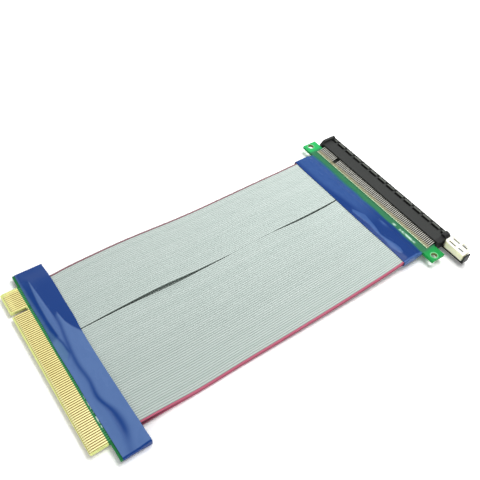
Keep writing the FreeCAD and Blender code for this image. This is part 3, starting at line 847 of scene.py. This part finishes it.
def ribbon_sheet(node, ways, outer_route, slit_route, outer_sideways, outward, material):
    """A flat cable as one closed tube. Along X the middle follows the routes of its two edges, up and
    sideways, blended in a straight line across. Around its section each wire is a circle, and a web joins
    it to the next."""
    low, high = corners_of(node)
    stations = np.linspace(low[0], high[0], int((high[0] - low[0]) / station_spacing))
    above = np.linspace(0, ways, ways * points_above + 1)
    below = np.linspace(0, ways, ways * points_below + 1)[1:-1][::-1]
    wire = np.concatenate([above, below])
    side = np.concatenate([np.ones(len(above)), -np.ones(len(below))])
    from_middle = wire % 1 - 0.5
    circle = np.sqrt(np.clip(insulation_radius ** 2 - from_middle ** 2, 0, None))
    rim = (wire == 0) | (wire == ways)
    thick = np.where(rim, 0, np.maximum(circle, web_half))
    inset = 0.5 - insulation_radius
    place = np.where(rim, np.where(wire == 0, inset, ways - inset), wire)
    pitch = (high[1] - low[1]) / ways
    edge = high[1] if outward > 0 else low[1]
    share = wire / ways
    along = stations - middle_x
    outer = smooth_route(outer_route, along)[:, None]
    slit = smooth_route(slit_route, along)[:, None]
    height = outer * (1 - share) + slit * share + side * thick
    outer_shift = smooth_route(outer_sideways, along)[:, None]
    slit_shift = smooth_route(slit_sideways, along)[:, None]
    slit_shift = slit_shift + outward / 2 * smooth_route(slit_opening, along)[:, None]
    across = edge - outward * place * pitch + outer_shift * (1 - share) + slit_shift * share
    points = np.stack(np.broadcast_arrays(stations[:, None], across, height), axis=-1)
    around = len(wire)
    faces = tube_faces(len(stations), around)
    last_ring = (len(stations) - 1) * around
    faces += [list(range(around))[::-1], list(range(last_ring, last_ring + around))]
    if outward < 0:
        faces = [face[::-1] for face in faces]
    looks = {"wire_place": np.broadcast_to(place, points.shape[:2])}
    return make_piece(node + "_cable", points.reshape(-1, 3), faces, material, node, looks)


def film_sleeve(node, middle, above, below, loose_and_sheen, over_board, borders, material):
    """Tape folded round a board. Around the board it runs over the top, folds at one end along a rounded
    square, and comes back below. Its distances above and below the board's middle are functions of X and Y,
    and on top it is higher where it lies loose. Its two edges follow drawn borders."""
    low, high = corners_of(node)
    stations = np.linspace(low[0], high[0], int((high[0] - low[0]) / film_step_x) + 1)
    flat_low = low[1] + fold_reach
    flat_high = high[1] - fold_reach
    run = np.linspace(flat_low, flat_high, int((flat_high - flat_low) / film_step_y) + 1)
    turn = np.linspace(0, math.pi, fold_points)[1:-1]
    bulge = np.sin(turn) ** fold_square * fold_reach
    swing = np.sign(np.cos(turn)) * np.abs(np.cos(turn)) ** fold_square
    y = np.concatenate([run, flat_high + bulge, run[::-1], flat_low - bulge])
    side = np.concatenate([np.ones(len(run)), swing, -np.ones(len(run)), -swing])
    x_grid, y_grid = np.meshgrid(stations, y, indexing="ij")
    along = (x_grid - low[0]) / (high[0] - low[0])
    for border, towards_edge in zip(borders, (1 - along, along)):
        x_grid = x_grid + smooth_line(border, y_grid) * towards_edge ** 2
    y_held = np.clip(y_grid, flat_low, flat_high)
    slack_and_sheen = loose_and_sheen(x_grid, y_held)
    height = np.where(side > 0, above(x_grid, y_held) + loose_lift * slack_and_sheen, below(x_grid, y_held))
    z_grid = middle + side * (height + film_thickness)
    points = np.stack([x_grid, y_grid, z_grid], axis=-1)
    faces = [face[::-1] for face in tube_faces(len(stations), len(y))]
    looks = {"loose_and_sheen": slack_and_sheen, "over_board": over_board(x_grid, y_held)}
    piece = make_piece(node + "_film", points.reshape(-1, 3), faces, material, node, looks)
    wall = piece.modifiers.new("film", "SOLIDIFY")
    wall.thickness = film_thickness * MM
    wall.offset = -1
    return piece


def fold_start(node):
    """Where the flat part of a tape begins along Y, after its fold at the latch end."""
    return corners_of(node)[0][1] + fold_reach


def plug_loose_and_sheen(x, y):
    """How loosely the plug tape lies: a long bubble at the keyed end, a wide loose part at the other, and
    two tight creases. The same values lift the tape and give it its paler painted sheen."""
    x = x - middle_x
    bubble = between_lines(x, y, bubble_near, bubble_far, bubble_soft)
    bubble *= smooth_step(y, *bubble_start) * (1 - smooth_step(y, *bubble_end))
    border = straight_line(loose_border, x)
    wide = 1 - smooth_step(y, border - loose_soft, border + loose_soft)
    width = crease_width + crease_widening * smooth_step(-y, *crease_wide_part)
    tight = np.exp(-((x - smooth_line(main_crease, y)) / width) ** 2)
    tight *= 1 - smooth_step(y, *crease_end)
    tight *= crease_depth + crease_deepening * smooth_step(-y, *crease_deep_part)
    tight *= 1 - crease_fading * smooth_step(-y, *crease_fade_part)
    second = np.exp(-((x - straight_line(tongue_crease, y)) / second_width) ** 2)
    second *= second_depth * smooth_step(y, *second_start)
    fold_y = fold_start("plug_tape")
    flat = smooth_step(y, fold_y, fold_y + fold_flat)
    keyed_end = keyed_slack * smooth_step(y, *keyed_part)
    slack_and_sheen = np.maximum.reduce([bubble_slack * bubble, loose_slack * wide, keyed_end])
    return slack_and_sheen * (1 - tight) * (1 - second) * flat


def plug_over_board(x, y):
    """The strip of the plug tape before its tongue-side crease, where the bare board lies under it."""
    crease = straight_line(tongue_crease, y) + middle_x
    before = 1 - smooth_step(x, crease - strip_soft[0], crease + strip_soft[1])
    return strip_share * before * smooth_step(y, *strip_start)


def plug_rise(x, y):
    """Distance of the plug tape from the board's middle: up a ramp to the ribbons, and down beside them."""
    ramp = smooth_step(x, plug_low[0] + plug_climb[0], plug_low[0] + plug_climb[1])
    near, far = wide_low[1], narrow_high[1]
    beside = smooth_step(y, near - fall_reach, near) * (1 - smooth_step(y, far, far + fall_reach))
    stiff = smooth_step(x, plug_high[0] + stiff_part[0], plug_high[0] + stiff_part[1])
    held = np.maximum(beside, stiff_share * stiff * (y < 0))
    return copper_rise + (tape_rise - copper_rise) * ramp * held


def socket_loose_and_sheen(x, y):
    """How loosely the socket tape lies: a jagged streak beside the ribbons, a patch by its border, the turn
    at the latch end, and a mild swell elsewhere; they lift the tape and give it its paler painted sheen."""
    x = x - middle_x
    streak = between_lines(x, y, streak_near, streak_far, streak_soft)
    streak *= smooth_step(y, *streak_start) * (1 - smooth_step(y, *streak_end))
    patch_x, patch_y = patch_place
    patch = np.exp(-((x - patch_x) / patch_size[0]) ** 2 - ((y - patch_y) / patch_size[1]) ** 2)
    fold_y = fold_start("socket_tape")
    turned = 1 - smooth_step(y, fold_y + turn_part[0], fold_y + turn_part[1])
    wider = swell_widening * smooth_step(y, *swell_wide_part)
    swell = smooth_step(x, swell_start_x[0] - wider, swell_start_x[1] - wider)
    swell *= smooth_step(y, *swell_start_y)
    parts = [streak_slack * streak, swell_slack * swell, patch_slack * patch, turn_slack * turned]
    return np.maximum.reduce(parts)


def socket_over_board(x, y):
    """The slot-side border of the socket tape, where the bare board lies under it."""
    edge = track_high[0] - socket_bare + straight_line(socket_slot_border, y)
    fade = bare_fade + bare_fade_growth * smooth_step(y, *bare_fade_part)
    end = edge + bare_end - bare_end_shift * smooth_step(y, *bare_end_part)
    return bare_share * smooth_step(x, end - fade, end)


def socket_rise(x, y, outer_route, slit_route):
    """Distance of the socket tape from the board's middle: on the wide ribbon with those routes, level on
    the rest, then close to the board."""
    share = np.clip((y - wide_low[1]) / (wide_high[1] - wide_low[1]), 0, 1)
    places = np.minimum(x - middle_x, outer_route[-1][0])
    ribbon = smooth_route(outer_route, places) * (1 - share) + smooth_route(slit_route, places) * share
    level = np.minimum(tape_rise, np.abs(ribbon - slot_middle) + insulation_radius + film_gap)
    down = smooth_step(x, socket_low[0] + socket_descent[0], socket_low[0] + socket_descent[1])
    return level + (copper_rise - tape_rise) * down


def socket_rise_above(x, y):
    return socket_rise(x, y, near_edge_upper, wide_slit_upper)


def socket_rise_below(x, y):
    return socket_rise(x, y, near_edge_lower, wide_slit_lower)


# Ribbons
insulation = surface("ribbon_insulation", {"IOR": 1.46}, ribbon_insulation)
ribbon_sheet("ribbon_upper_narrow", narrow_ways, far_edge_upper, narrow_slit_upper, far_edge_sideways,
             1, insulation)
ribbon_sheet("ribbon_lower_narrow", narrow_ways, far_edge_lower, narrow_slit_lower, far_edge_sideways,
             1, insulation)
ribbon_sheet("ribbon_upper_wide", wide_ways, near_edge_upper, wide_slit_upper, near_edge_sideways,
             -1, insulation)
ribbon_sheet("ribbon_lower_wide", wide_ways, near_edge_lower, wide_slit_lower, near_edge_sideways,
             -1, insulation)

# Tapes, with their colours where they stick, lie loose (a paler painted sheen) or cover bare board, and how
# mottled they are
dull_gloss = {"IOR": 1.5, "Specular IOR Level": 0.12}
plug_blue = (srgb(14, 60, 132), srgb(90, 121, 175), srgb(88, 126, 158), 0.15)
socket_blue = (srgb(8, 54, 122), srgb(70, 106, 166), srgb(36, 112, 92), 0.7)
plug_film = surface("plug_film", dull_gloss, lambda finish: blue_film(finish, *plug_blue))
socket_film = surface("socket_film", dull_gloss, lambda finish: blue_film(finish, *socket_blue))
film_sleeve("plug_tape", plug_middle, plug_rise, plug_rise, plug_loose_and_sheen, plug_over_board,
            (plug_tongue_border, plug_ribbon_border), plug_film)
film_sleeve("socket_tape", slot_middle, socket_rise_above, socket_rise_below, socket_loose_and_sheen,
            socket_over_board, (socket_ribbon_border, socket_slot_border), socket_film)

# Finishes of the pieces that stay as the CAD made them
metal = {"Metallic": 0.9}
board_gloss = {"IOR": 1.5, "Specular IOR Level": 0.15}
moulded = {"IOR": 1.5, "Specular IOR Level": 0.2}
soft_ivory = {
    "IOR": 1.5,
    "Subsurface Weight": 0.4,
    "Subsurface Radius": (1.0, 0.9, 0.5),
    "Subsurface Scale": 2 * MM,
}
gold_finish = surface("gold_plate", {}, gold_plate)
tin_finish = surface("tinned", metal, tinned)
tail_finish = surface("contact_tail", {"Metallic": 0.3}, contact_tail)
copper_finish = surface("socket_copper", {"Specular IOR Level": 0.15}, socket_copper)
kept_finishes = {
    "plug_board": surface("plug_laminate", board_gloss, plug_laminate),
    "plug_contacts_upper": gold_finish,
    "plug_contacts_lower": gold_finish,
    "plug_wire_ends_upper": tin_finish,
    "plug_wire_ends_lower": tin_finish,
    "socket_board": surface("socket_laminate", board_gloss, socket_laminate),
    "socket_tracks_upper": copper_finish,
    "socket_tracks_lower": copper_finish,
    "socket_wire_ends_upper": tin_finish,
    "socket_wire_ends_lower": tin_finish,
    "slot_housing": surface("black_moulding", moulded, black_moulding),
    "slot_contacts_upper": tail_finish,
    "slot_contacts_lower": tail_finish,
    "latch": surface("ivory_moulding", soft_ivory, ivory_moulding),
    "latch_pin": surface("drawn_steel", metal, drawn_steel),
}
for node, material in kept_finishes.items():
    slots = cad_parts[node].data.materials
    slots.clear()
    slots.append(material)


# Stage

def seen(finish):
    """1 for what the camera, mirrors and glass see, 0 for what only lights."""
    path = finish.node("ShaderNodeLightPath", {}, {}).socket.node.outputs
    rays = [Shade(finish, path[name]) for name in ("Is Camera Ray", "Is Glossy Ray", "Is Transmission Ray")]
    return finish.math("MINIMUM", rays[0] + rays[1] + rays[2], 1.0)


def matt(finish, grey):
    return finish.node("ShaderNodeBsdfDiffuse", {}, {"Color": (grey, grey, grey, 1)})


def pale_floor():
    """Matt white that keeps the shadow and shows paler than it lights, plain white far from the object."""
    material = bpy.data.materials.new("pale_floor")
    material.use_nodes = True
    finish = Finish(material.node_tree)
    x, y, z = finish.places()
    far = finish.ramp(finish.math("POWER", x * x + y * y, 0.5), *shadow_reach)
    plain = finish.node("ShaderNodeEmission", {}, {"Color": white, "Strength": 1.0})
    table = finish.node("ShaderNodeMixShader", {}, {0: far, 1: matt(finish, floor_shown), 2: plain})
    lit = matt(finish, floor_colour)
    shown = finish.node("ShaderNodeMixShader", {}, {0: seen(finish), 1: lit, 2: table})
    output = material.node_tree.nodes["Material Output"]
    material.node_tree.links.new(shown.socket, output.inputs["Surface"])
    return material


def pale_world():
    """White where it shows, dimmer where it only lights."""
    world = bpy.data.worlds.new("pale_world")
    bpy.context.scene.world = world
    world.use_nodes = True
    finish = Finish(world.node_tree)
    dim = finish.node("ShaderNodeBackground", {}, {"Color": white, "Strength": ambient})
    plain = finish.node("ShaderNodeBackground", {}, {"Color": white, "Strength": 1.0})
    shown = finish.node("ShaderNodeMixShader", {}, {0: seen(finish), 1: dim, 2: plain})
    world.node_tree.links.new(shown.socket, world.node_tree.nodes["World Output"].inputs["Surface"])


def area_light(name, place, size, power, aim):
    """A soft lamp of a given size that faces a point."""
    lamp = bpy.data.lights.new(name, "AREA")
    lamp.shape = "RECTANGLE"
    lamp.size = size[0] * MM
    lamp.size_y = size[1] * MM
    lamp.energy = power
    holder = bpy.data.objects.new(name, lamp)
    bpy.context.scene.collection.objects.link(holder)
    spot = Vector(place) * MM
    facing = (Vector(aim) * MM - spot).to_track_quat("-Z", "Y")
    holder.matrix_world = Matrix.LocRotScale(spot, facing, None)


floor_mesh = bpy.data.meshes.new("floor")
corners = np.array([(-1, -1, 0), (1, -1, 0), (1, 1, 0), (-1, 1, 0)]) * floor_reach * MM
floor_mesh.from_pydata(corners.tolist(), [], [(0, 1, 2, 3)])
floor_mesh.materials.append(pale_floor())
floor = bpy.data.objects.new("floor", floor_mesh)
bpy.context.scene.collection.objects.link(floor)
pale_world()
area_light("key", key_place, key_size, key_power, (key_place[0], key_place[1], 0))
area_light("back", back_place, (back_size, back_size), back_power, (0, 0, 0))
area_light("fill", fill_place, (fill_size, fill_size), fill_power, (0, 0, 0))

# Camera
azimuth = math.radians(view_azimuth)
elevation = math.radians(view_elevation)
level = math.cos(elevation)
back = Vector((math.sin(azimuth) * level, -math.cos(azimuth) * level, math.sin(elevation)))
right = Vector((0, 0, 1)).cross(back).normalized()
upward = back.cross(right)
turn = Matrix((right, upward, back)).transposed() @ Matrix.Rotation(math.radians(view_roll), 3, "Z")
lens = bpy.data.cameras.new("camera")
lens.lens = view_lens
lens.sensor_width = sensor_width
lens.clip_start = nearest_seen * MM
camera = bpy.data.objects.new("camera", lens)
bpy.context.scene.collection.objects.link(camera)
stand = Vector(view_target) + Vector((middle_x, 0, 0)) + back * view_distance
camera.matrix_world = Matrix.LocRotScale(stand * MM, turn, None)
bpy.context.scene.camera = camera
bpy.context.scene.view_settings.view_transform = "Standard"
